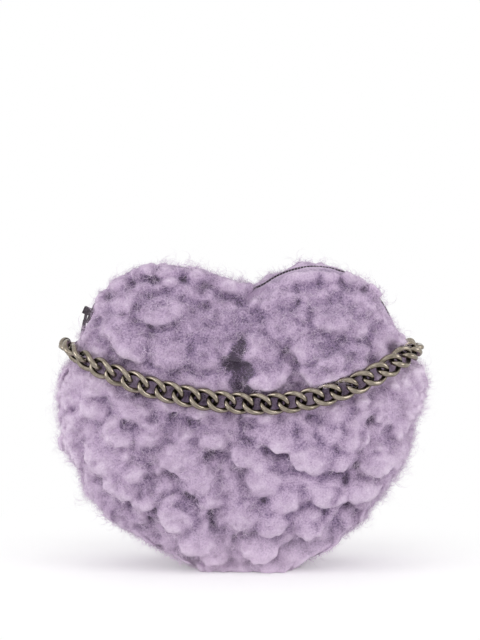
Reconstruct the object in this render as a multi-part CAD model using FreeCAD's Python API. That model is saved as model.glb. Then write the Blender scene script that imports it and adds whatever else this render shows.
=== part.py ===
import FreeCAD, Part
import math
import os

os.makedirs("parts", exist_ok=True)
Vec = FreeCAD.Vector

# Heart of the hides, seen from the front: lobes, cleft, shoulders and flat base
lobe_x = 33.0
lobe_z = 98.0
lobe_r = 36.0
cleft_r = 21.0
shoulder = 14.0
base_half = 16.0
corner_r = 26.0
base_z = 5.0

# Heart of the wool, which stands out further at the sides and reaches the ground
wool_drop = 0.5
wool_shoulder = 35.0
wool_base_half = 16.0
wool_corner_r = 26.0
wool_cover = 6.5
wool_inset = 40.0
wool_clear = 0.3
lock_pitch = 15.0
lock_r = 7.5
lock_rise = 3.2
lock_low = 1.1
lock_stray = 4.2
lock_vary = 0.2

# Depth of the bag
gusset_half = 12.0
dome_rise = 12.0
dome_inset = 24.0
hide_t = 1.2
lining_t = 0.5
seam = 0.15

# Zip
tape_t = 0.7
tape_depth = 0.25
zip_tail = 3.0
tooth_pitch = 2.8
tooth_width = 1.2
tooth_back = 2.6
tooth_head = 0.7
tooth_out = 0.7
tooth_in = 1.9
zip_above_ring = 8.0
slider_over = 2.5
slider_length = 9.0
slider_half = 4.2
slider_play = 0.4
slider_plate = 1.2
stop_width = 1.6
pin_r = 0.6
knuckle_r = 1.45
puller_length = 12.5
puller_t = 1.2
puller_hang = 13.0

# Rings and the tabs that hold them
wire = 2.4
ring_z = 98.5
ring_off = 3.02
ring_length = 8.0
ring_half = 8.0
ring_corner = 2.4
tab_half = 3.5
tab_t = 1.2
tab_play = 0.25
tab_room = 5.0
parting_clear = 1.8

# Chain
link_count = 25
link_half_width = 3.8
link_twist = 100.0
link_over = 1.65
chain_hook = 0.6
chain_low_x = 10.0
chain_low_z = 75.4
chain_clear = 1.2
chain_wrap = 6.0
roll_left = 8
roll_right = 5
link_thick = 5.6


def save(name, shape):
    shape.exportStep("parts/" + name + ".step")


def polar(x, z, radius, angle, y=0.0):
    a = math.radians(angle)
    return Vec(x + radius * math.cos(a), y, z + radius * math.sin(a))


def mirror_x(shape):
    return shape.mirror(Vec(0, 0, 0), Vec(1, 0, 0))


def mirror_y(shape):
    return shape.mirror(Vec(0, 0, 0), Vec(0, 1, 0))


class Heart:
    """A heart made of tangent arcs. Its insets are concentric, so their edges match one to one."""

    def __init__(self, lobe_z, shoulder, base_half, corner_r, base_z):
        self.lobe_z = lobe_z
        self.shoulder = shoulder
        self.base_half = base_half
        self.corner_r = corner_r
        self.base_z = base_z
        self.corner_z = base_z + corner_r
        self.cleft_z = lobe_z + math.sqrt((lobe_r + cleft_r) ** 2 - lobe_x**2)
        self.cleft_angle = math.degrees(math.atan2(self.cleft_z - lobe_z, -lobe_x))
        out_x = math.cos(math.radians(shoulder))
        out_z = math.sin(math.radians(shoulder))
        to_x = lobe_x + lobe_r * out_x - base_half
        to_z = lobe_z + lobe_r * out_z - self.corner_z
        reach = to_x * out_x + to_z * out_z - corner_r
        self.side_r = (to_x**2 + to_z**2 - corner_r**2) / (2 * reach)
        self.side_x = lobe_x + (lobe_r - self.side_r) * out_x
        self.side_z = lobe_z + (lobe_r - self.side_r) * out_z
        self.low_angle = math.degrees(math.atan2(self.corner_z - self.side_z, base_half - self.side_x))

    def wire(self, inset, y):
        low = self.low_angle
        high = self.cleft_angle
        turn = self.shoulder
        arcs = [
            (self.base_half, self.corner_z, self.corner_r - inset, -90, low),
            (self.side_x, self.side_z, self.side_r - inset, low, turn),
            (lobe_x, self.lobe_z, lobe_r - inset, turn, high),
            (0, self.cleft_z, cleft_r + inset, high - 180, -high),
            (-lobe_x, self.lobe_z, lobe_r - inset, 180 - high, 180 - turn),
            (-self.side_x, self.side_z, self.side_r - inset, 180 - turn, 180 - low),
            (-self.base_half, self.corner_z, self.corner_r - inset, 180 - low, 270),
        ]
        edges = []
        for x, z, r, start, end in arcs:
            ends = [polar(x, z, r, a, y) for a in (start, (start + end) / 2, end)]
            edges.append(Part.Arc(*ends).toShape())
        floor = self.base_z + inset
        edges.append(Part.makeLine(Vec(-self.base_half, y, floor), Vec(self.base_half, y, floor)))
        return Part.Wire(edges)

    def side_at(self, z):
        return self.side_x + math.sqrt(self.side_r**2 - (z - self.side_z) ** 2)

    def prism(self, inset, half):
        return Part.Face(self.wire(inset, -half)).extrude(Vec(0, 2 * half, 0))


hide_heart = Heart(lobe_z, shoulder, base_half, corner_r, base_z)
wool_heart = Heart(lobe_z - wool_drop, wool_shoulder, wool_base_half, wool_corner_r, 0.0)

# The zip ends above the rings: its stops, then the slider, which rests on the last teeth
zip_end = math.degrees(math.asin((ring_z + zip_above_ring - lobe_z) / lobe_r))
zip_end_z = ring_z + zip_above_ring - zip_tail
slider_turn = math.degrees(slider_length / lobe_r)
stop_turn = math.degrees((stop_width + slider_play) / lobe_r)
slider_at = 180 - zip_end - stop_turn - slider_turn / 2
last_tooth = slider_at + slider_over

# The rings lie close to the hide's sides
ring_in = hide_heart.side_at(ring_z) + ring_off


def dome(depth):
    """The front half of the bag, in front of the gusset, shrunk by a depth into the hide."""
    deepest = min(dome_inset, 0.93 * corner_r, 0.93 * lobe_r)
    wires = []
    for angle in (0, 25, 50, 70, 90):
        a = math.radians(angle)
        inset = deepest - (deepest - depth) * math.cos(a)
        wires.append(hide_heart.wire(inset, -gusset_half - (dome_rise - depth) * math.sin(a)))
    return Part.makeLoft(wires, True)


beyond = 2 * (lobe_x + lobe_r + lobe_z)


def below(z):
    return Part.makeBox(2 * beyond, 2 * beyond, beyond, Vec(-beyond, -beyond, z - beyond))


def above(z):
    return Part.makeBox(2 * beyond, 2 * beyond, beyond, Vec(-beyond, -beyond, z))


def tube(edges, radius):
    """Round wire along straight and round edges."""
    pieces = []
    for edge in edges:
        start = edge.valueAt(edge.FirstParameter)
        along = edge.tangentAt(edge.FirstParameter)
        disc = Part.Face(Part.Wire(Part.makeCircle(radius, start, along)))
        if edge.Curve.TypeId == "Part::GeomLine":
            pieces.append(disc.extrude(along * edge.Length))
        else:
            turn = math.degrees(edge.LastParameter - edge.FirstParameter)
            pieces.append(disc.revolve(edge.Curve.Center, edge.Curve.Axis, turn))
    return pieces[0].multiFuse(pieces[1:]).removeSplitter()


# Hides: two domed hearts and the strip between them, which ends where the zip begins
lining_depth = hide_t + seam
front_hide = dome(0).cut(dome(hide_t))
save("front_hide", front_hide)
save("back_hide", mirror_y(front_hide))
strip_half = gusset_half - seam
strip = hide_heart.prism(0, strip_half).cut(hide_heart.prism(hide_t, strip_half))
gusset_hide = strip.common(below(zip_end_z - seam))
save("gusset_hide", gusset_hide)

# Lining: a cloth bag of the same three pieces inside the hides
front_lining = dome(lining_depth).cut(dome(lining_depth + lining_t))
save("front_lining", front_lining)
save("back_lining", mirror_y(front_lining))
sleeve = hide_heart.prism(lining_depth, strip_half)
sleeve = sleeve.cut(hide_heart.prism(lining_depth + lining_t, strip_half))
save("gusset_lining", sleeve.common(below(zip_end_z - seam)))

# Wool of the front and the back: a domed pile with rows of locks standing out of it. It is parted
# at the sides where the chain comes through. In front, the locks behind the chain and those that it
# passes when it swings up lie flatter
crown_y = gusset_half + dome_rise + wool_cover
rim_y = gusset_half + wool_clear
flat_inset = 0.9 * min(wool_corner_r, lobe_r)
flat_angle = math.acos(1 - flat_inset / wool_inset)
wool_wires = []
for share in (0, 1 / 3, 2 / 3, 1):
    a = flat_angle * share
    flat_y = rim_y + (crown_y - rim_y) * math.sin(a)
    wool_wires.append(wool_heart.wire(wool_inset * (1 - math.cos(a)), -flat_y))
pile = Part.makeLoft(wool_wires, True)
parting_r = ring_half + wire + parting_clear
hook_x = ring_in + ring_length / 2


def chain_point(x):
    """The chain's line over the front wool, hanging lowest right of the middle."""
    front = crown_y + chain_clear + link_thick / 2
    wrap = math.sqrt(max(0.0, 1 - abs(x / hook_x) ** chain_wrap))
    y = -ring_half - (front - ring_half) * wrap
    span = hook_x + chain_low_x if x < chain_low_x else hook_x - chain_low_x
    return Vec(x, y, chain_low_z + (ring_z - chain_low_z) * ((x - chain_low_x) / span) ** 2)


def uneven(row, column, turn):
    """An irregular number from -1 to 1, always the same for a lock."""
    return math.sin(12.9 * row + 78.2 * column + 37.7 * turn)


def wool_panel(upper_rise, chain_room):
    """A panel's wool, with the rise of its locks above the rings and their room beside the chain."""
    row_pitch = lock_pitch * math.sin(math.radians(60))
    columns = int(hook_x / lock_pitch) + 1
    locks = []
    for row in range(1, int((lobe_z + lobe_r) / row_pitch)):
        for column in range(-columns, columns + 1):
            x = (column + row % 2 / 2) * lock_pitch + lock_stray * uneven(row, column, 0)
            z = row * row_pitch + lock_stray * uneven(row, column, 1)
            size = 1 + lock_vary * uneven(row, column, 2)
            needle = Part.makeLine(Vec(x, -2 * crown_y, z), Vec(x, 0, z)).common(pile)
            if not needle.Edges:
                continue
            chain = chain_point(x)
            top = needle.BoundBox.YMin - size * (lock_rise if z < ring_z else upper_rise)
            if abs(z - chain.z) < chain_room:
                top = max(top, chain.y + link_thick / 2 + chain_clear)
            if top + 2 * size * lock_r < -rim_y:
                locks.append(Part.makeSphere(size * lock_r, Vec(x, top + size * lock_r, z)))
    panel = pile.multiFuse(locks).cut(dome(-seam))
    for side in (-1, 1):
        parting = Part.makeCylinder(parting_r, 2 * crown_y, Vec(side * hook_x, 0, ring_z), Vec(0, -1, 0))
        panel = panel.cut(parting)
    return panel


save("front_wool", wool_panel(lock_low, link_half_width + wire / 2 + (1 + lock_vary) * lock_r))
save("back_wool", mirror_y(wool_panel(lock_rise, 0.0)))

# Wool of the gusset, round the sides and under the base
wool_top = ring_z - wire / 2 - tab_t - tab_room
wool_strip = wool_heart.prism(0, gusset_half).cut(hide_heart.prism(-seam, gusset_half))
save("gusset_wool", wool_strip.common(below(wool_top)))

# Zip tapes, from seam to teeth along the top of the heart
tape_edge = 0.9
tape_width = gusset_half - seam - tape_edge
tape_ring = hide_heart.prism(tape_depth, tape_width / 2)
tape_ring = tape_ring.cut(hide_heart.prism(tape_depth + tape_t, tape_width / 2))
tape_ring = tape_ring.common(above(zip_end_z))
tape_ring.translate(Vec(0, -tape_edge - tape_width / 2, 0))
save("zip_tape_front", tape_ring)
save("zip_tape_back", mirror_y(tape_ring))


def zip_frame(s):
    """Point, outward normal and direction of the zip line, s millimetres right of the cleft."""
    far = abs(s)
    cleft_length = cleft_r * math.radians(hide_heart.cleft_angle - 90)
    lobe_length = lobe_r * math.radians(hide_heart.cleft_angle - shoulder)
    if far < cleft_length:
        a = far / cleft_r
        point = Vec(cleft_r * math.sin(a), 0, hide_heart.cleft_z - cleft_r * math.cos(a))
        normal = Vec(-math.sin(a), 0, math.cos(a))
    elif far < cleft_length + lobe_length:
        a = hide_heart.cleft_angle - math.degrees((far - cleft_length) / lobe_r)
        point = polar(lobe_x, lobe_z, lobe_r, a)
        normal = polar(0, 0, 1, a)
    else:
        a = shoulder - math.degrees((far - cleft_length - lobe_length) / hide_heart.side_r)
        point = polar(hide_heart.side_x, hide_heart.side_z, hide_heart.side_r, a)
        normal = polar(0, 0, 1, a)
    if s < 0:
        point.x = -point.x
        normal.x = -normal.x
    return point, normal, Vec(normal.z, 0, -normal.x)


def clamp(s, width, outline):
    """A crimped metal piece on the zip line, from its outline across the zip."""
    point, normal, along = zip_frame(s)
    corners = [point + normal * h + Vec(0, y, 0) - along * (width / 2) for y, h in outline]
    return Part.Face(Part.makePolygon(corners + corners[:1])).extrude(along * width)


# Teeth: each is crimped over the tape's edge, and its head reaches between two of the other row
slot_out = seam - tape_depth
slot_in = -tape_depth - tape_t - seam
slot_end = tape_edge - seam


def crimp(head):
    return [
        (-tooth_back, tooth_out),
        (head, tooth_out),
        (head, -tooth_in),
        (-tooth_back, -tooth_in),
        (-tooth_back, slot_in),
        (-slot_end, slot_in),
        (-slot_end, slot_out),
        (-tooth_back, slot_out),
    ]


def arc_to_lobe(angle):
    """Length of the zip line from the cleft to an angle on the lobe, 0 pointing straight out."""
    turned = hide_heart.cleft_angle - angle
    return cleft_r * math.radians(hide_heart.cleft_angle - 90) + lobe_r * math.radians(turned)


first_s = -arc_to_lobe(180 - last_tooth)
last_s = arc_to_lobe(zip_end) - tooth_pitch
teeth = int((last_s - first_s) / tooth_pitch)
front_row = []
back_row = []
for i in range(teeth):
    s = first_s + i * tooth_pitch
    front_row.append(clamp(s, tooth_width, crimp(tooth_head)))
    back_row.append(mirror_y(clamp(s + tooth_pitch / 2, tooth_width, crimp(tooth_head))))
save("zip_teeth_front", Part.makeCompound(front_row))
save("zip_teeth_back", Part.makeCompound(back_row))

# Stops: one on each tape where the slider ends, and one across both at the other end
stop_s = -arc_to_lobe(180 - slider_at - slider_turn / 2) - stop_width / 2 - slider_play
top_stop = clamp(stop_s, stop_width, crimp(-slot_end + tape_t))
save("zip_top_stops", Part.makeCompound([top_stop, mirror_y(top_stop)]))
end_s = first_s + teeth * tooth_pitch + tooth_pitch
end_stop = clamp(end_s, stop_width, crimp(0.0))
save("zip_bottom_stop", end_stop.fuse(mirror_y(end_stop)).removeSplitter())


def bend(outline, start, turn):
    """An outline of (y, height) corners above the zip line, swept round the left lobe."""
    corners = [polar(-lobe_x, lobe_z, lobe_r + h, start, y) for y, h in outline]
    face = Part.Face(Part.makePolygon(corners + corners[:1]))
    return face.revolve(Vec(-lobe_x, 0, lobe_z), Vec(0, -1, 0), turn)


# Slider: two plates with lips that hold the teeth, a wedge that parts them, and lugs for the puller
top_in = tooth_out + slider_play
top_out = top_in + slider_plate
low_out = -tooth_in - slider_play
low_in = low_out - slider_plate
lip = 0.8
tape_gap = 0.35
slider_from = slider_at - slider_turn / 2
top_plate = [
    (-slider_half, top_out),
    (slider_half, top_out),
    (slider_half, tape_gap - tape_depth),
    (slider_half - lip, tape_gap - tape_depth),
    (slider_half - lip, top_in),
    (lip - slider_half, top_in),
    (lip - slider_half, tape_gap - tape_depth),
    (-slider_half, tape_gap - tape_depth),
]
tape_under = -tape_depth - tape_t - tape_gap
low_plate = [
    (-slider_half, low_in),
    (slider_half, low_in),
    (slider_half, tape_under),
    (slider_half - lip, tape_under),
    (slider_half - lip, low_out),
    (lip - slider_half, low_out),
    (lip - slider_half, tape_under),
    (-slider_half, tape_under),
]
wedge_half = 0.7
wedge = [
    (-wedge_half, low_out - 0.2),
    (wedge_half, low_out - 0.2),
    (wedge_half, top_in + 0.2),
    (-wedge_half, top_in + 0.2),
]
wedge_turn = 2.5
pin_height = top_out + knuckle_r + slider_play
lug_in = 1.35
lug_out = 2.35
lug_turn = math.degrees(2 * knuckle_r / lobe_r)
lug = [
    (lug_in, top_out - 0.2),
    (lug_out, top_out - 0.2),
    (lug_out, pin_height + knuckle_r),
    (lug_in, pin_height + knuckle_r),
]
near_lug = bend(lug, slider_at - lug_turn / 2, lug_turn)
pin_at = polar(-lobe_x, lobe_z, lobe_r + pin_height, slider_at)
pin = Part.makeCylinder(pin_r, 2 * lug_in + 0.4, pin_at - Vec(0, lug_in + 0.2, 0), Vec(0, 1, 0))
slider = bend(top_plate, slider_from, slider_turn).multiFuse(
    [
        bend(low_plate, slider_from, slider_turn),
        bend(wedge, slider_at + slider_turn / 2 - wedge_turn, wedge_turn),
        near_lug,
        mirror_y(near_lug),
        pin,
    ]
)
save("zip_slider", slider.removeSplitter())

# Puller: a plate with a knuckle round the slider's pin, hanging down along the zip
puller_half = 2.6
neck_half = lug_in - 0.25
neck_length = 4.2
tip_r = puller_half
eye_r = 1.3
knuckle = Part.makeCylinder(knuckle_r, 2 * neck_half, Vec(0, -neck_half, 0), Vec(0, 1, 0))
neck = Part.makeBox(neck_length, 2 * neck_half, puller_t, Vec(0, -neck_half, -puller_t / 2))
blade_length = puller_length - neck_length - tip_r
blade = Part.makeBox(blade_length, 2 * puller_half, puller_t, Vec(neck_length, -puller_half, -puller_t / 2))
tip_at = Vec(neck_length + blade_length, 0, -puller_t / 2)
tip = Part.makeCylinder(tip_r, puller_t, tip_at)
puller = knuckle.multiFuse([neck, blade, tip])
puller = puller.cut(Part.makeCylinder(pin_r + seam, 2 * neck_half, Vec(0, -neck_half, 0), Vec(0, 1, 0)))
puller = puller.cut(Part.makeCylinder(eye_r, puller_t, tip_at)).removeSplitter()
puller.rotate(Vec(0, 0, 0), Vec(0, 1, 0), -90 - slider_at - puller_hang)
puller.translate(pin_at)
save("zip_puller", puller)

# Rings: round wire bent to a rectangle with round corners, lying flat
ring_out = ring_in + ring_length
near_x = ring_in + ring_corner
far_x = ring_out - ring_corner
near_y = ring_half - ring_corner
ring_edges = []
centres = [(far_x, -near_y, -90), (far_x, near_y, 0), (near_x, near_y, 90), (near_x, -near_y, 180)]
for x, y, start in centres:
    points = []
    for angle in (start, start + 45, start + 90):
        a = math.radians(angle)
        points.append(Vec(x + ring_corner * math.cos(a), y + ring_corner * math.sin(a), ring_z))
    if ring_edges:
        last = ring_edges[-1]
        ring_edges.append(Part.makeLine(last.valueAt(last.LastParameter), points[0]))
    ring_edges.append(Part.Arc(*points).toShape())
start_point = ring_edges[0].valueAt(ring_edges[0].FirstParameter)
end_point = ring_edges[-1].valueAt(ring_edges[-1].LastParameter)
ring_edges.append(Part.makeLine(end_point, start_point))
right_ring = tube(ring_edges, wire / 2)
save("right_ring", right_ring)
save("left_ring", mirror_x(right_ring))

# Tabs: a strap folded round the ring, both ends sewn to the gusset
fold_in = wire / 2 + tab_play
fold_out = fold_in + tab_t
eye_at = Vec(ring_in, -tab_half, ring_z)
fold = Part.makeCylinder(fold_out, 2 * tab_half, eye_at, Vec(0, 1, 0))
legs = Part.makeBox(ring_in, 2 * tab_half, 2 * fold_out, Vec(0, -tab_half, ring_z - fold_out))
hollow = Part.makeCylinder(fold_in, 2 * tab_half, eye_at, Vec(0, 1, 0))
slit = Part.makeBox(ring_in, 2 * tab_half, 2 * fold_in, Vec(0, -tab_half, ring_z - fold_in))
right_tab = fold.fuse(legs).cut(hollow).cut(slit).cut(hide_heart.prism(-0.05, gusset_half)).removeSplitter()
save("right_ring_tab", right_tab)
save("left_ring_tab", mirror_x(right_tab))


def link_path(half_length):
    """A twisted oval as a closed run of arcs, two to each quarter."""

    def oval(t):
        twist = math.radians(link_twist / 2) * math.cos(t)
        wide = link_half_width * math.sin(t)
        return Vec(half_length * math.cos(t), wide * math.cos(twist), wide * math.sin(twist))

    edges = []
    for quarter in range(4):
        t0 = math.pi / 2 * quarter
        t1 = t0 + math.pi / 2
        p0 = oval(t0)
        p1 = oval(t1)
        d0 = (oval(t0 + 1e-5) - oval(t0 - 1e-5)).normalize()
        d1 = (oval(t1 + 1e-5) - oval(t1 - 1e-5)).normalize()
        chord = p1 - p0
        lean = chord.dot(d0 + d1)
        open_by = 2 * (1 - d0.dot(d1))
        reach = (math.sqrt(lean**2 + open_by * chord.dot(chord)) - lean) / open_by
        middle = (p0 + d0 * reach + p1 - d1 * reach) / 2
        edges.append(tangent_arc(p0, d0, middle))
        edges.append(tangent_arc(middle, (p1 - d1 * reach - p0 - d0 * reach).normalize(), p1))
    return edges


def tangent_arc(start, direction, end):
    chord = end - start
    along = Vec(chord).normalize()
    off = direction - along * direction.dot(along)
    half_turn = math.atan2(off.Length, direction.dot(along))
    rise = chord.Length / 2 * math.tan(half_turn / 2)
    return Part.Arc(start, start + chord / 2 + off.normalize() * rise, end).toShape()


# Chain: one link shape, laid along the line and rolled at each end to hang on the ring's front side
steps = 4000
line = [chain_point(hook_x * math.sin(math.pi * (i / steps - 0.5))) for i in range(steps + 1)]
lengths = [0.0]
for a, b in zip(line, line[1:]):
    lengths.append(lengths[-1] + (b - a).Length)


def along_chain(length):
    low = 0
    high = steps
    while high - low > 1:
        middle = (low + high) // 2
        if lengths[middle] > length:
            high = middle
        else:
            low = middle
    share = (length - lengths[low]) / (lengths[high] - lengths[low])
    return line[low] + (line[high] - line[low]) * share


# The end links reach past the ring's wire, and the rest share the length between them evenly
hook_past = wire + chain_hook
pitch = (lengths[-1] + 2 * hook_past - 2 * link_over) / link_count
link_half_length = pitch / 2 + link_over
first_at = link_half_length - hook_past
pitch = (lengths[-1] - 2 * first_at) / (link_count - 1)
link = tube(link_path(link_half_length), wire / 2)
for i in range(link_count):
    at = first_at + i * pitch
    centre = along_chain(at)
    forward = along_chain(min(lengths[-1], at + pitch / 2)) - along_chain(max(0.0, at - pitch / 2))
    forward.normalize()
    outward = Vec(forward.y, -forward.x, 0).normalize()
    upward = outward.cross(forward)
    roll = 0.0
    if i < roll_left:
        roll = link_twist / 2 * (1 - i / roll_left)
    if link_count - 1 - i < roll_right:
        roll = -link_twist / 2 * (1 - (link_count - 1 - i) / roll_right)
    r = math.radians(roll)
    wide = upward * math.cos(r) + outward * math.sin(r)
    thick = outward * math.cos(r) - upward * math.sin(r)
    turn = FreeCAD.Rotation(forward, wide, thick, "XYZ")
    placed = link.copy()
    placed.Placement = FreeCAD.Placement(centre, turn)
    save("chain_link_%02d" % (i + 1), placed)
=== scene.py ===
import math
import bpy
import bmesh
import numpy as np
from mathutils import Matrix, Vector, noise
from mathutils.bvhtree import BVHTree
from mathutils.kdtree import KDTree


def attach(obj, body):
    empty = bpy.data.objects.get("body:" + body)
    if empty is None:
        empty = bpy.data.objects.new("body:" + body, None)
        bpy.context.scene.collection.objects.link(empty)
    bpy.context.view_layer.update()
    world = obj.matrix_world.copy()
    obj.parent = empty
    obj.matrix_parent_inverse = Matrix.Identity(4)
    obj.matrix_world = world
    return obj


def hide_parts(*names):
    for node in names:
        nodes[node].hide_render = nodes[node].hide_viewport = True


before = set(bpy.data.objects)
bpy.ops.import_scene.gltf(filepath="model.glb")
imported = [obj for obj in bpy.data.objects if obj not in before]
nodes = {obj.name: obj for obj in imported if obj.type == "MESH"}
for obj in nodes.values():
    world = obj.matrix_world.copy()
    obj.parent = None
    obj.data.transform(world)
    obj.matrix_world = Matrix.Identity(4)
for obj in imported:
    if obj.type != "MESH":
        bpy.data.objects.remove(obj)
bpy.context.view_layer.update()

# Hides: the tanned skin that carries the pile, in a front, a back and a strip between them.
# Only its edge along the zip and the bare patches at the rings show: soft lilac suede leather.
# Sizes are in millimetres up to the fibres, and in metres from the floor on.
hide_lilac = "#B9A3BF"
hide_shade = "#A58DAC"
hide_nap = 0.6
hide_blotch = 9.0


def linear(colour):
    """A colour written as sRGB hex, turned to the linear values that shaders take."""
    parts = [int(colour[i : i + 2], 16) / 255 for i in (1, 3, 5)]
    return [p / 12.92 if p <= 0.04045 else ((p + 0.055) / 1.055) ** 2.4 for p in parts] + [1.0]


def add(tree, kind, links={}, values={}, **settings):
    """Adds a node with its settings, the values of its sockets, and links into its sockets."""
    made = tree.nodes.new(kind)
    for name, value in settings.items():
        setattr(made, name, value)
    for key, value in values.items():
        made.inputs[key].default_value = value
    for key, source in links.items():
        tree.links.new(source, made.inputs[key])
    return made


def joined(tree, operation, a, b, **settings):
    """Two values of a tree joined by a sum or the like."""
    return add(tree, "ShaderNodeMath", {0: a, 1: b}, operation=operation, **settings).outputs[0]


def new_finish(name):
    """An empty material, its tree, and the place on a piece that its textures are drawn by."""
    made = bpy.data.materials.new(name)
    made.use_nodes = True
    tree = made.node_tree
    tree.nodes.clear()
    return made, tree, add(tree, "ShaderNodeTexCoord").outputs["Object"]


def two_tone(tree, share, dark, light):
    """A colour between two, by a share from 0 to 1."""
    mixed = add(tree, "ShaderNodeMix", {"Factor": share}, data_type="RGBA")
    mixed.inputs["A"].default_value = linear(dark)
    mixed.inputs["B"].default_value = linear(light)
    return mixed.outputs["Result"]


def close_finish(tree, links, values):
    """Ends a material with its one surface."""
    skin = add(tree, "ShaderNodeBsdfPrincipled", links, values)
    add(tree, "ShaderNodeOutputMaterial", {"Surface": skin.outputs[0]})


def dress(finish, *names):
    """Gives CAD pieces a finish, in every slot they have."""
    for name in names:
        for held in nodes[name].material_slots:
            held.material = finish


suede, tree, place = new_finish("suede_hide")
nap = add(tree, "ShaderNodeTexNoise", {"Vector": place}, {"Scale": 1000 / hide_nap, "Detail": 3.0})
blotch = add(tree, "ShaderNodeTexNoise", {"Vector": place}, {"Scale": 1000 / hide_blotch, "Detail": 2.0})
share = joined(tree, "MULTIPLY", nap.outputs["Fac"], blotch.outputs["Fac"])
tint = add(tree, "ShaderNodeMapRange", {"Value": share}, {"From Min": 0.12, "From Max": 0.42})
tone = two_tone(tree, tint.outputs[0], hide_shade, hide_lilac)
relief = add(tree, "ShaderNodeBump", {"Height": nap.outputs["Fac"]}, {"Strength": 0.35, "Distance": 0.0002})
close_finish(
    tree,
    {"Base Color": tone, "Normal": relief.outputs["Normal"]},
    {"Roughness": 0.9, "Sheen Weight": 0.3, "Sheen Roughness": 0.5, "Specular IOR Level": 0.2},
)
dress(suede, "front_hide", "back_hide", "gusset_hide")

# Lining: a plain woven cloth bag inside the hides, in three sewn pieces.
# Its warp and weft are 0.5 mm apart, drawn at 0.8 mm so that they show.
lining_thread = 0.8
lining_lilac = "#A08CA8"
lining_shade = "#8B7894"
waves_per_unit = 3.14
cloth, tree, place = new_finish("woven_lining")
threads = {"Scale": 1000 / lining_thread / waves_per_unit, "Distortion": 0.4}
warp = add(tree, "ShaderNodeTexWave", {"Vector": place}, threads)
weft = add(tree, "ShaderNodeTexWave", {"Vector": place}, threads, bands_direction="Z")
weave = joined(tree, "MAXIMUM", warp.outputs["Fac"], weft.outputs["Fac"])
tone = two_tone(tree, weave, lining_shade, lining_lilac)
relief = add(tree, "ShaderNodeBump", {"Height": weave}, {"Strength": 0.3, "Distance": 0.0001})
close_finish(
    tree,
    {"Base Color": tone, "Normal": relief.outputs["Normal"]},
    {"Roughness": 0.75, "Sheen Weight": 0.2, "Specular IOR Level": 0.3},
)
dress(cloth, "front_lining", "back_lining", "gusset_lining")

# Zip tapes: two woven polyester bands sewn to the edges of the hides, dyed to match the wool.
# Fine ribs run along them, one every 0.9 mm, and a fuzz of fibres breaks up their tone.
tape_rib = 0.9
tape_fuzz = 0.5
tape_lilac = "#AE99B5"
tape_shade = "#8E7A97"
webbing, tree, place = new_finish("polyester_tape")
ribbing = {"Scale": 1000 / tape_rib / waves_per_unit, "Distortion": 0.6, "Detail": 1.0}
ribs = add(tree, "ShaderNodeTexWave", {"Vector": place}, ribbing, bands_direction="Y")
fuzz = add(tree, "ShaderNodeTexNoise", {"Vector": place}, {"Scale": 1000 / tape_fuzz, "Detail": 2.0})
both = joined(tree, "MULTIPLY", ribs.outputs["Fac"], fuzz.outputs["Fac"])
tone = two_tone(tree, both, tape_shade, tape_lilac)
relief = add(tree, "ShaderNodeBump", {"Height": both}, {"Strength": 0.5, "Distance": 0.00015})
close_finish(
    tree,
    {"Base Color": tone, "Normal": relief.outputs["Normal"]},
    {"Roughness": 0.8, "Sheen Weight": 0.2, "Specular IOR Level": 0.3},
)
dress(webbing, "zip_tape_front", "zip_tape_back")

# Zip teeth, stops, slider and puller: die-cast and stamped metal with a dark gunmetal plating.
# Plating wears a little lighter on what rubs, so the tone wanders over a millimetre or two.
gun_dark = "#3C363B"
gun_worn = "#6A626A"
gun_wear = 1.8
gunmetal, tree, place = new_finish("gunmetal_plate")
wear = add(tree, "ShaderNodeTexNoise", {"Vector": place}, {"Scale": 1000 / gun_wear, "Detail": 4.0})
tint = add(tree, "ShaderNodeMapRange", {"Value": wear.outputs["Fac"]}, {"From Min": 0.35, "From Max": 0.7})
tone = two_tone(tree, tint.outputs[0], gun_dark, gun_worn)
dull = add(tree, "ShaderNodeMapRange", {"Value": wear.outputs["Fac"]}, {"To Min": 0.28, "To Max": 0.5})
close_finish(tree, {"Base Color": tone, "Roughness": dull.outputs[0]}, {"Metallic": 1.0})
dress(gunmetal, "zip_teeth_front", "zip_teeth_back", "zip_top_stops", "zip_bottom_stop")
dress(gunmetal, "zip_slider", "zip_puller")

# Ring tabs: a strap of dyed leather folded round each ring, its two ends sewn to the gusset.
# Fine pebbled grain about 0.7 mm across, with darker lines between the pebbles.
grain_size = 0.7
tab_lilac = "#A890AF"
tab_shade = "#7F6B88"
leather, tree, place = new_finish("grained_leather")
pebble = add(tree, "ShaderNodeTexVoronoi", {"Vector": place}, {"Scale": 1000 / grain_size})
tint = add(
    tree,
    "ShaderNodeMapRange",
    {"Value": pebble.outputs["Distance"]},
    {"From Min": 0.25, "From Max": 0.75, "To Min": 1.0, "To Max": 0.0},
)
tone = two_tone(tree, tint.outputs[0], tab_shade, tab_lilac)
relief = add(tree, "ShaderNodeBump", {"Height": tint.outputs[0]}, {"Strength": 0.4, "Distance": 0.0001})
close_finish(tree, {"Base Color": tone, "Normal": relief.outputs["Normal"]}, {"Roughness": 0.55})
dress(leather, "left_ring_tab", "right_ring_tab")

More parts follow.
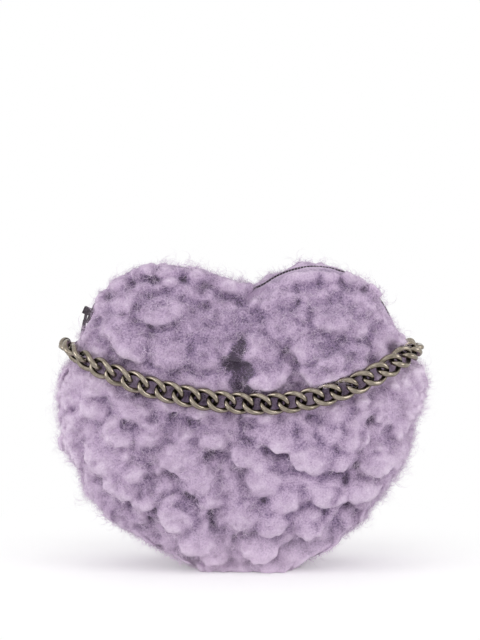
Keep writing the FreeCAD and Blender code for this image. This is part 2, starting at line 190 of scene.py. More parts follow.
# Rings and chain: bent and twisted round wire, plated in antique nickel.
# The plating is rubbed bright on what stands out and left brown-black where links shade each other.
nickel_bright = "#A0968A"
nickel_mid = "#7B7265"
nickel_dark = "#231D19"
nickel_mottle = 2.5
shade_reach = 2.2
nickel, tree, place = new_finish("antique_nickel")
cover = add(tree, "ShaderNodeAmbientOcclusion", {}, {"Distance": shade_reach / 1000}, samples=8)
mottle = add(tree, "ShaderNodeTexNoise", {"Vector": place}, {"Scale": 1000 / nickel_mottle, "Detail": 4.0})
rubbed = add(tree, "ShaderNodeMapRange", {"Value": mottle.outputs["Fac"]}, {"From Min": 0.3, "From Max": 0.7})
tone = two_tone(tree, rubbed.outputs[0], nickel_mid, nickel_bright)
depth = add(tree, "ShaderNodeMapRange", {"Value": cover.outputs["AO"]}, {"From Min": 0.25, "From Max": 0.85})
patina = add(tree, "ShaderNodeMix", {"Factor": depth.outputs[0]}, data_type="RGBA")
patina.inputs["A"].default_value = linear(nickel_dark)
tree.links.new(tone, patina.inputs["B"])
dull = add(tree, "ShaderNodeMapRange", {"Value": mottle.outputs["Fac"]}, {"To Min": 0.15, "To Max": 0.34})
close_finish(tree, {"Base Color": patina.outputs["Result"], "Roughness": dull.outputs[0]}, {"Metallic": 1.0})
dress(nickel, "left_ring", "right_ring", *sorted(name for name in nodes if name.startswith("chain_link")))

# Wool: the curly shearling pile that covers the front, the back and the gusset, lilac dyed.
# Its locks hang down over each other like shingles, 6 to 30 mm across, and stand 1 to 7 mm proud.
# They part under the cleft and at the lower right, and lie flat under the chain and beside the zip.
# Of the colours below, the palest is the hairs' own and also painted highlight on what stands out; the two
# darkest are painted shade in hollows and partings. The base's pink also paints the light that the white
# floor throws up.
wool_pale_and_painted_highlight = "#E3D2E6"
wool_lilac = "#C5AECB"
wool_painted_hollow_shade = "#826D8F"
wool_painted_deepest_shade = "#5A4D60"
wool_base_pink_and_bounce = "#FCE8FD"
wool_speck = 0.8
lobe_at = np.array([33.0, 98.0])
lobe_r = 36.0
cleft_at = 144.5
cleft_r = 21.0
ring_at = np.array([76.6, 98.5])
ring_room = 6.0
chain_low = np.array([10.0, 75.4])
chain_front = 34.5
chain_side = 8.0
chain_high = 5.0
chain_deep = 3.1
chain_lift = math.radians(60.0)
# Half the width of a parting, and the points that it runs through, seen from the front.
partings = [
    (1.5, [(-2.5, 109.0), (1.0, 101.0), (-1.5, 95.0), (2.5, 89.0), (0.0, 84.0), (3.0, 79.0)]),
    (0.6, [(60.0, 72.0), (55.0, 64.0), (51.0, 50.0), (43.0, 36.0), (34.0, 21.0)]),
]
# Heights, and how far the pile reaches to the left and to the right there.
outline = [
    (0, 16, 22), (4, 21, 27), (7, 28, 32), (11, 36, 40), (18, 51, 49), (25, 60, 55),
    (32, 68, 61), (40, 72, 67), (47, 77, 72), (54, 81, 75), (61, 84, 77), (68, 85, 80),
    (76, 83, 83), (84, 81, 87), (92, 79, 85), (98, 78, 79), (101, 76, 75), (105, 73, 71),
    (111, 71, 69), (116, 70, 67), (122, 67, 62), (126, 63, 58), (130, 58, 53), (134, 51, 47),
]
outline_z, outline_left, outline_right = np.array(outline, float).T
outline_ragged = 7.0
outline_soft = 4.0
outline_give = 6.5
tab_room = 3.4
zip_half = 8.5
wool_ground = 0.15
wool_sunk = 0.5
fuzz_room = 1.2
lock_pitch = 15.0
lock_stray = 4.2
lock_vary = 0.2
lock_half = 8.6
lock_from = 23.0
lock_tries = 16000
lobe_locks_from = 88.0
lobe_locks_grow = 1.4
stand_front = 1.3
stand_edge = 5.0
skin_grain = 0.93
# Bends and small lumps of the pile: waves to a millimetre, and how far they move it.
bend_noise = [(0.08, 0.9), (0.2, 0.5)]
lump_noise = [(0.27, 0.9), (0.5, 0.4)]
noise.seed_set(5)


def corners_of(mesh):
    """A mesh's points and its triangles' point numbers, in millimetres."""
    spots = np.zeros(len(mesh.vertices) * 3)
    mesh.vertices.foreach_get("co", spots)
    mesh.calc_loop_triangles()
    sides = np.zeros(len(mesh.loop_triangles) * 3, int)
    mesh.loop_triangles.foreach_get("vertices", sides)
    return spots.reshape(-1, 3) * 1000, sides.reshape(-1, 3)


hide_spots = []
hide_sides = []
for name in ("front_hide", "back_hide", "gusset_hide"):
    spots, sides = corners_of(nodes[name].data)
    hide_sides += (sides + len(hide_spots)).tolist()
    hide_spots += spots.tolist()
hides = BVHTree.FromPolygons(hide_spots, hide_sides)


def off_hide(spots):
    """How far points are from the hides."""
    return np.array([hides.find_nearest(p)[3] for p in spots.tolist()])


def unit(v):
    """Vectors of length 1."""
    return v / np.maximum(np.linalg.norm(v, axis=-1, keepdims=True), 1e-9)


def smooth(a, b, v):
    """0 up to a, 1 from b on, and a soft step between."""
    t = np.clip((v - a) / (b - a), 0, 1)
    return t * t * (3 - 2 * t)


def from_line(x, z, line):
    """Distance of points, seen from the front, from a line of corners."""
    near = np.full(len(x), 1e9)
    for (ax, az), (bx, bz) in zip(line, line[1:]):
        dx, dz = bx - ax, bz - az
        t = np.clip(((x - ax) * dx + (z - az) * dz) / (dx**2 + dz**2), 0, 1)
        near = np.minimum(near, np.hypot(x - ax - t * dx, z - az - t * dz))
    return near


def from_ring(spots):
    """Distance of points from the nearer ring's middle, seen from the front."""
    return np.hypot(np.abs(spots[:, 0]) - ring_at[0], spots[:, 2] - ring_at[1])


def search_tree(spots):
    """Points, ready to be searched for the nearest one."""
    made = KDTree(len(spots))
    for i, p in enumerate(spots.tolist()):
        made.insert(p, i)
    made.balance()
    return made


def chain_line(x):
    """Where the chain's middle runs, hanging lowest right of the purse's middle."""
    span = np.where(x < chain_low[0], ring_at[0] + chain_low[0], ring_at[0] - chain_low[0])
    z = chain_low[1] + (ring_at[1] - chain_low[1]) * ((x - chain_low[0]) / span) ** 2
    y = -chain_side - (chain_front - chain_side) * np.sqrt(1 - np.abs(x / ring_at[0]) ** 6)
    return np.stack([x, y, z], 1)


chain_spots = chain_line(ring_at[0] * np.sin(np.linspace(-1.57, 1.57, 700)))
chain_way = unit(np.gradient(chain_spots, axis=0))
chain_near = search_tree(chain_spots)


def wool_points(panel, facing, count, chance):
    """Random points on the outside of a panel's pile and the way it faces there."""
    spots, sides = corners_of(nodes[panel].data)
    a, b, c = spots[sides[:, 0]], spots[sides[:, 1]], spots[sides[:, 2]]
    across = np.cross(b - a, c - a)
    area = np.linalg.norm(across, axis=1)
    pick = chance.choice(len(sides), count, p=area / area.sum())
    u = np.sqrt(chance.random((count, 1)))
    v = chance.random((count, 1))
    at = (1 - u) * a[pick] + u * (1 - v) * b[pick] + u * v * c[pick]
    way = unit(across[pick])
    keep = (off_hide(at) > 1.0) & (from_ring(at) > ring_room)
    if facing:
        keep &= way[:, 1] * facing < 0.5
    else:
        keep &= (np.abs(way[:, 1]) < 0.6) & (way[:, 2] < 0.75)
    return at[keep], way[keep]


def uneven(row, column, turn):
    """An irregular number from -1 to 1, always the same for a lock."""
    return math.sin(12.9 * row + 78.2 * column + 37.7 * turn)


def large_locks(panel, facing, chance):
    """The large locks, which lie where the panel's solid has locks of its own, larger on the lobes."""
    spots, sides = corners_of(nodes[panel].data)
    solid = BVHTree.FromPolygons(spots.tolist(), sides.tolist())
    made = []
    for row in range(1, 11):
        for column in range(-6, 7):
            x = (column + row % 2 / 2) * lock_pitch + lock_stray * uneven(row, column, 0)
            z = row * lock_pitch * math.sin(math.radians(60)) + lock_stray * uneven(row, column, 1)
            at, way, _, _ = solid.ray_cast(Vector((x, -100 * facing, z)), Vector((0, facing, 0)))
            if at and abs(at.y) > lock_from:
                grow = lobe_locks_grow if z > lobe_locks_from else 1.0
                size = (1 + lock_vary * uneven(row, column, 2)) * grow
                made.append((np.array(at), np.array(way), lock_half * size * chance.uniform(0.85, 1.2)))
    return made


def locks_on(panel, facing, sizes, extra, chance):
    """Places, facings and half widths of locks: the large ones first, then smaller, each in its own room."""
    at, way = wool_points(panel, facing, lock_tries, chance)
    wide = np.concatenate([chance.uniform(low, high, tries) for tries, low, high in sizes])
    kept = list(extra) + (large_locks(panel, facing, chance) if facing else [])
    gap, line = partings[0]
    for p, n, w in zip(at, way, wide):
        if facing > 0 and from_line(p[:1], p[2:], line)[0] < gap + 0.7 * w:
            continue
        if all(np.linalg.norm(p - q) > 0.47 * (w + v) for q, _, v in kept):
            kept.append((p, n, w))
    return kept


def put(name, data):
    """A new object in the scene."""
    made = bpy.data.objects.new(name, data)
    bpy.context.scene.collection.objects.link(made)
    return made


def plain_mesh(holder):
    """An object's mesh with its modifiers applied. The object itself goes."""
    ready = holder.evaluated_get(bpy.context.evaluated_depsgraph_get())
    mesh = bpy.data.meshes.new_from_object(ready)
    bpy.data.objects.remove(holder)
    return mesh


def keep_values(mesh, label, rows):
    """Keeps a number or a vector with each point of a mesh."""
    kind, slot = ("FLOAT", "value") if rows.ndim == 1 else ("FLOAT_VECTOR", "vector")
    held = mesh.attributes.new(label, kind, "POINT")
    held.data.foreach_set(slot, rows.astype(np.float32).ravel())


# One tree sets a lock on each point, turned and sized by the point's own values.
lock_tree = bpy.data.node_groups.new("wool_locks", "GeometryNodeTree")
lock_tree.interface.new_socket("Places", in_out="INPUT", socket_type="NodeSocketGeometry")
lock_tree.interface.new_socket("Locks", in_out="OUTPUT", socket_type="NodeSocketGeometry")
given = add(lock_tree, "NodeGroupInput")
turned = add(lock_tree, "GeometryNodeInputNamedAttribute", {}, {"Name": "turn"}, data_type="FLOAT_VECTOR")
sized = add(lock_tree, "GeometryNodeInputNamedAttribute", {}, {"Name": "girth"}, data_type="FLOAT_VECTOR")
lump = add(lock_tree, "GeometryNodeMeshIcoSphere", {}, {"Radius": 1.0, "Subdivisions": 3})
angle = add(lock_tree, "FunctionNodeEulerToRotation", {"Euler": turned.outputs["Attribute"]})
to_points = add(lock_tree, "GeometryNodeMeshToPoints", {"Mesh": given.outputs["Places"]})
set_out = add(
    lock_tree,
    "GeometryNodeInstanceOnPoints",
    {
        "Points": to_points.outputs["Points"],
        "Instance": lump.outputs["Mesh"],
        "Rotation": angle.outputs["Rotation"],
        "Scale": sized.outputs["Attribute"],
    },
)
real = add(lock_tree, "GeometryNodeRealizeInstances", {"Geometry": set_out.outputs["Instances"]})
add(lock_tree, "NodeGroupOutput", {"Locks": real.outputs["Geometry"]})


def lock_lumps(kept, facing, chance):
    """The locks as lumps that lean out of the pile and point down it, and where their middles are."""
    count = len(kept)
    spots = np.array([k[0] for k in kept])
    way = unit(np.array([k[1] for k in kept]))
    wide = np.array([k[2] for k in kept])
    large = wide > 0.85 * lock_half
    down = np.array([0.0, 0.0, -1.0]) - way * (-way[:, 2:3])
    level = np.linalg.norm(down, axis=1, keepdims=True) < 0.3
    down = unit(down + 0.35 * way[:, [1, 0, 2]] * level)
    side = np.cross(way, down)
    roll = chance.normal(0, 0.5, (count, 1)) * np.where(large, 0.5, 1.0)[:, None]
    down = down * np.cos(roll) + side * np.sin(roll)
    lean = np.radians(chance.uniform(24, 44, (count, 1)))
    along = unit(down * np.cos(lean) + way * np.sin(lean))
    side = unit(np.cross(along, way))
    out = np.cross(side, along)
    length = wide * chance.uniform(1.0, 1.5, count)
    thick = np.clip(wide * chance.uniform(0.4, 0.6, count), 2.0, 5.2)
    at_edge = 1 - smooth(16.0, 24.0, np.abs(spots[:, 1]))
    if facing:
        thick = thick + at_edge * (0.8 * wide - thick)
    stand = stand_front + (stand_edge - stand_front) * at_edge + 0.12 * (wide - 6.0)
    stand = stand + chance.uniform(-0.8, 0.8, count)
    stand = stand + 2.5 * at_edge * (chance.random(count) < 0.2)
    if facing > 0:
        on_lobes = smooth(86.0, 94.0, spots[:, 2]) * (1 - at_edge)
        stand = stand + on_lobes * np.where(large, 1.0, -1.3)
    tall = np.hypot(length * np.sin(lean[:, 0]), thick * np.cos(lean[:, 0]))
    spots = spots + way * (stand - tall)[:, None]
    turns = [Matrix(np.array([s, a, o]).T.tolist()).to_euler() for s, a, o in zip(side, along, out)]
    cloud = bpy.data.meshes.new("lock_places")
    cloud.from_pydata((spots / 1000).tolist(), [], [])
    keep_values(cloud, "turn", np.array(turns))
    keep_values(cloud, "girth", np.stack([wide, length, thick], 1) / 1000)
    holder = put("lock_places", cloud)
    holder.modifiers.new("locks", "NODES").node_group = lock_tree
    return plain_mesh(holder), spots


def wool_body(panel, facing, sizes, extra, seed):
    """The pile's lumpy body: locks on the panel's own solid, sunk to half its height, made one skin."""
    chance = np.random.default_rng(seed)
    lumps, spots = lock_lumps(locks_on(panel, facing, sizes, extra, chance), facing, chance)
    whole = bmesh.new()
    whole.from_mesh(nodes[panel].data)
    bmesh.ops.remove_doubles(whole, verts=whole.verts, dist=2e-6)
    for corner in whole.verts:
        root, _, _, gap = hides.find_nearest(corner.co * 1000)
        if gap > 0.6:
            corner.co = (root + (corner.co * 1000 - root) * wool_sunk) / 1000
    whole.from_mesh(lumps)
    mesh = bpy.data.meshes.new("wool_lumps")
    whole.to_mesh(mesh)
    whole.free()
    holder = put("wool_lumps", mesh)
    one_skin = holder.modifiers.new("one_skin", "REMESH")
    one_skin.mode = "VOXEL"
    one_skin.voxel_size = skin_grain / 1000
    return plain_mesh(holder), spots


def in_partings(spots):
    """The front's pile laid low along its partings."""
    x, y, z = spots.T.copy()
    cover = off_hide(spots)
    for gap, line in partings:
        hold = 1 - smooth(0.2 * gap, 2.2 * gap + 1.6, from_line(x, z, line))
        y = y + hold * np.clip(cover - 1.6, 0, 1.2 + 1.4 * gap)
    return np.stack([x, y, z], 1)


def beside_zip(spots, facing):
    """A panel's pile trimmed to a ragged edge beside the zip, lowest on the right, where the zip shows."""
    x, y, z = spots.T.copy()
    front = facing > 0
    shown = smooth(4.0, 11.0, x) * (1 - smooth(44.0, 52.0, x))
    limit = 2.5 + 1.4 * (1 - smooth(8.0, 16.0, np.abs(x))) - 3.8 * shown if front else np.full(len(x), 1.6)
    ragged = np.array([noise.noise(Vector((0.085 * v, 0.0, facing))) for v in x.tolist()])
    limit = limit + 1.7 * ragged * (1 - 0.7 * shown * front)
    in_cleft = np.abs(x) < lobe_at[0] * cleft_r / (lobe_r + cleft_r)
    dx = np.where(in_cleft, -np.abs(x), np.abs(x) - lobe_at[0])
    dz = np.where(in_cleft, cleft_at - z, z - lobe_at[1])
    far = np.maximum(np.hypot(dx, dz), 1)
    above = np.where(in_cleft, cleft_r - far, far - lobe_r)
    top = smooth(104.0, 112.0, z) * (1 - smooth(22.0, 30.0, np.abs(y)))
    trim = np.maximum(above - limit, 0) * top
    reach = 30
    for i in np.flatnonzero(trim * shown > 0.05) if front else []:
        away = Vector((np.sign(x[i]) * dx[i], 0, dz[i])) / far[i] * (-1 if in_cleft[i] else 1)
        found = hides.ray_cast(Vector((x[i], y[i], z[i])) + reach * away, -away)
        if found[0]:
            trim[i] = np.clip(found[3] - reach - 0.6 * smooth(9.5, 13.5, abs(y[i])), 0, trim[i])
    x = np.where(in_cleft, x, x - np.sign(x) * dx / far * trim)
    z = z - np.where(in_cleft, 1.0, dz / far) * trim
    y = np.where((above > -3.0) & (z > 98.0), -facing * np.maximum(-facing * y, zip_half), y)
    return np.stack([x, y, z], 1)


def under_chain(spots):
    """The pile pressed flat where the chain lies on it."""
    at = np.array([chain_near.find(p)[1] for p in spots.tolist()])
    gone = spots - chain_spots[at]
    out = unit(np.stack([chain_way[at, 1], -chain_way[at, 0], 0 * at], 1))
    up = np.cross(out, chain_way[at])
    forward = (gone * out).sum(1)
    rise = (gone * up).sum(1)
    room = chain_deep * np.sqrt(np.clip(1 - (rise / chain_high) ** 2, 0, 1))
    room = room + 0.3 * (1 - smooth(chain_high - 1, chain_high + 3, np.abs(rise)))
    near = np.abs((gone * chain_way[at]).sum(1)) < 2.0
    over = near * (rise < chain_high - 0.8) * (rise > -chain_high - 2) * np.clip(forward + room, 0, 9)
    return spots - out * over[:, None]


def in_outline(spots):
    """The pile held inside the purse's ragged outline, clear of the rings, and on the ground."""
    x, y, z = spots.T.copy()
    left, right = np.interp(z, outline_z, outline_left), np.interp(z, outline_z, outline_right)
    places = [(0.1 * c, 0.02 * b, 3.0 if a < 0 else 8.0) for a, b, c in zip(x, y, z)]
    ragged = np.array([noise.noise(Vector(p)) for p in places])
    most = np.where(x < 0, left, right) - fuzz_room
    most = most + outline_ragged * ragged * smooth(4.0, 14.0, z)
    over = np.abs(x) - most + outline_soft
    held = most - outline_soft + outline_give * (1 - np.exp(-over / outline_give))
    x = np.where(over > 0, np.sign(x) * held, x)
    slab = smooth(67.0, 70.0, np.abs(x)) * (1 - smooth(10.0, 13.0, np.abs(y)))
    dz = z - ring_at[1]
    z = z + slab * np.sign(dz) * np.maximum(tab_room - np.abs(dz), 0)
    z = np.maximum(z, wool_ground)
    return np.stack([x, y, z], 1)


def pressed(spots, facing):
    """The pile moved aside for what lies in it: partings, zip, chain at rest and raised, rings, ground."""
    if facing > 0:
        spots = in_partings(spots)
    if facing:
        spots = beside_zip(spots, facing)
    if facing >= 0:
        spots = under_chain(spots)
    if facing > 0:
        raised = np.array(Matrix.Rotation(-chain_lift, 3, "X"))
        hinge = np.array([0.0, -chain_side, ring_at[1]])
        spots = (under_chain((spots - hinge) @ raised + hinge) - hinge) @ raised.T + hinge
    return in_outline(spots)


def wool_piece(title, panel, facing, sizes, extra, seed):
    """Makes a panel's pile and the values that its colour and its fibres need at each point."""
    mesh, locks = wool_body(panel, facing, sizes, extra, seed)
    spots, sides = corners_of(mesh)
    edges = np.zeros(len(mesh.edges) * 2, int)
    mesh.edges.foreach_get("vertices", edges)
    a, b = edges.reshape(-1, 2).T
    share = np.bincount(a, minlength=len(spots)) + np.bincount(b, minlength=len(spots))

    def eased(v, rounds):
        """Values moved half way to the mean of their neighbours, some times over."""
        for _ in range(rounds):
            near = [np.bincount(a, row[b], len(v)) + np.bincount(b, row[a], len(v)) for row in v.T]
            v = v + 0.5 * (np.stack(near, 1) / share[:, None] - v)
        return v

    def facing_of(v):
        """The way the pile faces at each point."""
        across = np.cross(v[sides[:, 1]] - v[sides[:, 0]], v[sides[:, 2]] - v[sides[:, 0]])
        total = [np.bincount(sides.ravel(), np.repeat(row, 3), len(v)) for row in across.T]
        return unit(np.stack(total, 1))

    def bend_at(p):
        return sum((noise.noise_vector(p * waves) * reach for waves, reach in bend_noise), Vector())

    def lump_at(p):
        return sum(noise.noise(p * waves) * reach for waves, reach in lump_noise)

    bends = np.array([bend_at(Vector(p)) for p in spots.tolist()])
    spots = eased(spots, 1) + bends * smooth(0.8, 4.0, off_hide(spots))[:, None]
    spots = eased(pressed(spots, facing), 1)
    outside = smooth(0.4, 1.3, off_hide(spots))
    lumps = np.array([lump_at(Vector(p)) for p in spots.tolist()])
    spots = spots + facing_of(spots) * (lumps * outside)[:, None]
    spots[:, 2] = np.maximum(spots[:, 2], 0.1)
    way = facing_of(spots)
    # How far each point stands out of the smoothed pile; the wool's colour paints shade in hollows and
    # highlight on tops from it.
    proud = ((spots - eased(spots, 70)) * way).sum(1)
    proud = eased(proud[:, None], 2)[:, 0]
    apart = Vector((seed, 0, 0))
    swirl = np.array([noise.noise_vector(Vector(p) * 0.16 + apart) for p in spots.tolist()])
    x, _, z = spots.T
    if facing > 0:
        parted = 1 - smooth(1.0, 6.5, from_line(x, z, partings[0][1]) + 2.5 * swirl[:, 0])
        parted = parted * (1 - smooth(88.0, 106.0, z))
        # Painted shade: the parting, and the lobes from 82 mm up, are painted darker through the proud value.
        proud = proud - 3.5 * parted - 0.4 * smooth(82.0, 96.0, z)
        outside = outside * (1 - 0.4 * parted)
        above = np.hypot(x - lobe_at[0], z - lobe_at[1]) - lobe_r
        bare = smooth(4.0, 11.0, x) * (1 - smooth(46.0, 54.0, x))
        outside = outside * (1 - 0.85 * bare * smooth(-8.0, -3.0, above))
    # Painted light: the sides, from 46 mm out, are painted paler through the proud value.
    proud = proud + 0.8 * smooth(46.0, 72.0, np.abs(x))
    nearest = search_tree(locks)
    own = np.array([nearest.find(p)[1] for p in spots.tolist()])
    tuft = np.random.default_rng(seed + 50).random(len(locks))[own]
    tuft = eased(tuft[:, None], 4)[:, 0]
    lay = np.array([0.0, 0.0, -0.45]) + 1.6 * swirl
    lay = unit(lay - way * (lay * way).sum(1, keepdims=True))
    lay = unit(0.92 * lay + 0.4 * way)
    mesh.vertices.foreach_set("co", (spots / 1000).astype(np.float32).ravel())
    for label, rows in (("pile", outside), ("proud", proud), ("tuft", tuft), ("lay", lay)):
        keep_values(mesh, label, rows)
    mesh.polygons.foreach_set("use_smooth", np.ones(len(mesh.polygons), bool))
    mesh.materials.clear()
    mesh.materials.append(shearling)
    mesh.update()
    piece = put(title, mesh)
    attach(piece, "bag")
    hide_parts(panel)
    return piece


# Dyed sheep's wool: dull, soft and light-scattering. Colour goes from painted shade deep in the partings and
# hollows to painted highlight on what stands out, each lock and hair has a tone of its own, and the base is
# pinker and lighter, with painted light from the floor.
shearling, tree, place = new_finish("shearling_wool")
proud = add(tree, "ShaderNodeAttribute", attribute_name="proud").outputs["Fac"]
tuft = add(tree, "ShaderNodeAttribute", attribute_name="tuft").outputs["Fac"]
strand = add(tree, "ShaderNodeAttribute", attribute_name="strand").outputs["Fac"]
specks = {"Scale": 1000 / wool_speck, "Detail": 3.0, "Roughness": 0.7}
speck = add(tree, "ShaderNodeTexNoise", {"Vector": place}, specks)
# Painted shade and highlight: the further the pile stands out, the paler it is painted, and hollows and
# partings are painted dark.
rise = add(tree, "ShaderNodeMapRange", {"Value": proud}, {"From Min": -1.9, "From Max": 2.8})
own = add(tree, "ShaderNodeMath", {0: tuft}, {1: 0.22, 2: -0.11}, operation="MULTIPLY_ADD")
dots = add(tree, "ShaderNodeMath", {0: speck.outputs["Fac"]}, {1: 1.2, 2: -0.6}, operation="MULTIPLY_ADD")
hair_tone = add(tree, "ShaderNodeMath", {0: strand}, {1: 0.5}, operation="MULTIPLY")
tint = rise.outputs[0]
for more in (own, dots, hair_tone):
    tint = joined(tree, "ADD", tint, more.outputs[0])
tone = add(tree, "ShaderNodeValToRGB", {"Fac": tint})
tone.color_ramp.elements[0].position = 0.0
tone.color_ramp.elements[0].color = linear(wool_painted_deepest_shade)
tone.color_ramp.elements[1].position = 0.95
tone.color_ramp.elements[1].color = linear(wool_pale_and_painted_highlight)
tone.color_ramp.elements.new(0.12).color = linear(wool_painted_hollow_shade)
tone.color_ramp.elements.new(0.5).color = linear(wool_lilac)
# Painted light: from 22 mm down the colour is mixed up to half way to a pale pink. This paints the light that
# the white floor throws up onto the base, as well as its pinker tint.
height = add(tree, "ShaderNodeSeparateXYZ", {"Vector": place}).outputs["Z"]
low_down = {"From Min": 0.022, "From Max": 0.002, "To Max": 0.5}
foot = add(tree, "ShaderNodeMapRange", {"Value": height}, low_down)
pink_and_bounce_mix = add(tree, "ShaderNodeMix", {"Factor": foot.outputs[0]}, data_type="RGBA")
pink_and_bounce_mix.inputs["B"].default_value = linear(wool_base_pink_and_bounce)
tree.links.new(tone.outputs["Color"], pink_and_bounce_mix.inputs["A"])
relief = add(tree, "ShaderNodeBump", {"Height": speck.outputs["Fac"]}, {"Strength": 0.7, "Distance": 0.001})
close_finish(
    tree,
    {"Base Color": pink_and_bounce_mix.outputs["Result"], "Normal": relief.outputs["Normal"]},
    {"Roughness": 1.0, "Sheen Weight": 0.25, "Sheen Roughness": 0.6, "Specular IOR Level": 0.1},
)


def crest(side, facing, turns, lift, chance):
    """Locks that stand up along the top edge of a lobe, beside the zip."""
    made = []
    for turn in turns:
        a = math.radians(turn + chance.uniform(-4, 4))
        n = np.array([side * math.cos(a), -facing * chance.uniform(0.2, 0.7), math.sin(a)])
        far = lobe_r + lift + chance.uniform(-1.0, 0.8)
        x = side * (lobe_at[0] + far * math.cos(a))
        p = np.array([x, -facing * chance.uniform(13.5, 18.0), lobe_at[1] + far * math.sin(a)])
        made.append((p, unit(n), chance.uniform(3.6, 6.6)))
    return made


def cleft_crest(facing, turns, lift, chance):
    """Locks that stand up along the cleft between the lobes."""
    made = []
    far = cleft_r - lift
    for turn in turns:
        a = math.radians(turn + chance.uniform(-3, 3))
        n = np.array([-math.sin(a), -facing * chance.uniform(0.2, 0.6), math.cos(a)])
        p = np.array([far * math.sin(a), -facing * chance.uniform(12.5, 17.0), cleft_at - far * math.cos(a)])
        made.append((p, unit(n), chance.uniform(4.2, 5.4)))
    return made


seeded = np.random.default_rng(11)
front_crest = crest(-1, 1, range(18, 128, 12), -1.0, seeded)
front_crest += crest(1, 1, range(10, 60, 12), -1.4, seeded)
front_crest += crest(1, 1, range(58, 130, 8), -3.5, seeded)
front_crest += cleft_crest(1, range(-40, 14, 9), 0.2, seeded)
back_crest = crest(1, -1, range(40, 128, 13), -1.0, seeded)
back_crest += crest(-1, -1, range(25, 128, 13), -2.0, seeded)
back_crest += cleft_crest(-1, (-28, -12, 4, 20, 34), -1.5, seeded)
# Locks with a place of their own: on the gusset's sides and foot, round the rings, and along the base.
# Each has its place, the way it faces where that varies, and half its width.
bulges = [
    (np.array([-75.0, 0.0, 64.0]), np.array([-1.0, 0.0, 0.0]), 8.5),
    (np.array([-74.5, -6.0, 78.0]), np.array([-1.0, -0.2, 0.0]), 7.0),
    (np.array([76.0, 0.0, 81.0]), np.array([1.0, 0.0, 0.1]), 8.5),
    (np.array([80.0, -5.0, 84.0]), np.array([1.0, -0.2, 0.1]), 6.0),
    (np.array([-26.0, -9.0, 3.0]), np.array([-1.0, 0.0, -0.2]), 6.4),
    (np.array([-27.0, 5.0, 3.0]), np.array([-1.0, 0.0, -0.2]), 6.8),
    (np.array([26.0, -8.0, 3.0]), np.array([1.0, 0.0, -0.2]), 6.8),
    (np.array([27.0, 6.0, 3.0]), np.array([1.0, 0.0, -0.2]), 6.4),
]
ring_locks = [
    (66, -20, 107, 5.5), (69, -15, 105, 4.5), (64, -24, 99, 5.0),
    (68, -19, 88, 5.5), (71, -15, 91, 5.0), (69, -16, 101, 3.6),
]
base_locks = [
    (-31, 9, 6.0), (-21, 4, 6.4), (-14, 3, 5.0), (-6, 4, 6.8),
    (3, 3, 5.6), (11, 4, 6.6), (19, 3, 5.6), (29, 7, 6.2),
]
cheeks = []
for side in (-1, 1):
    for x, y, z, w in ring_locks:
        cheeks.append((np.array([side * x, y, z]), unit(np.array([side * 0.6, -0.8, 0.0])), w))
for x, z, w in base_locks:
    cheeks.append((np.array([x, -20.5, z]), unit(np.array([0.01 * x, -1.0, 0.2])), w))
back_cheeks = [(p * [1, -1, 1], n * [1, -1, 1], w) for p, n, w in cheeks]
# How many smaller locks are tried, and between what half widths.
panel_locks = [(260, 5.4, 7.6), (900, 4.0, 5.6), (2600, 3.0, 4.0)]
gusset_locks = [(25, 6.5, 8.5), (300, 4.6, 6.5), (15700, 3.2, 4.6)]
front_wool = wool_piece("wool_front", "front_wool", 1, panel_locks, front_crest + cheeks, 4)
back_wool = wool_piece("wool_back", "back_wool", -1, panel_locks, back_crest + back_cheeks, 7)
gusset_wool = wool_piece("wool_gusset", "gusset_wool", 0, gusset_locks, bulges, 9)

# Fibres: the fine crimped hairs of the pile. Short ones, 2 to 6 mm long, blur the locks' edges, and
# longer wisps, 4 to 14 mm, stand off them. Real ones are 0.03 mm thick; here they are 0.2 and 0.1 mm,
# six to a curl, so that they show.
fibre_thick = 0.2
fibre_long = 5.0
wisp_thick = 0.1
wisp_long = 11.0
strands = 6
full_turn = 6.28
curl_sizes = (0.6, 1.15)
curl_tilt = 0.8
hair_tones = (-0.5, 1.4)
fibre_ground = 0.2


def curl(title, thick, tall, spread, bends, steps, seed):
    """A small curl of flat tapered hairs from one root, pointing up."""
    chance = np.random.default_rng(seed)
    up = np.array([0, 0, 1])
    rows = []
    faces = []
    for _ in range(strands):
        turn = chance.uniform(0, full_turn)
        sweep = 2.2 * chance.uniform(*bends)
        long = tall * chance.uniform(0.6, 1.1)
        crimp = chance.uniform(0, full_turn)
        lean = np.array([math.cos(turn), math.sin(turn), 0])
        across = np.array([-math.sin(turn), math.cos(turn), 0])
        flat = across * math.cos(sweep / 2) + up * math.sin(sweep / 2)
        root = np.array([chance.normal(0, spread), chance.normal(0, spread), -0.5])
        first = len(rows)
        for k in range(steps):
            s = k / (steps - 1)
            a = sweep * s
            path = root + long * (lean * (1 - math.cos(a)) / sweep + up * math.sin(a) / sweep)
            path = path + 0.09 * long * s * math.sin(9 * s + crimp) * across
            half = thick / 2 * (1 - 0.75 * s)
            rows += [path - flat * half, path + flat * half]
            if k:
                i = first + 2 * k
                faces.append((i - 2, i - 1, i + 1, i))
    mesh = bpy.data.meshes.new(title)
    mesh.from_pydata((np.array(rows) / 1000).tolist(), [], faces)
    return put(title, mesh)


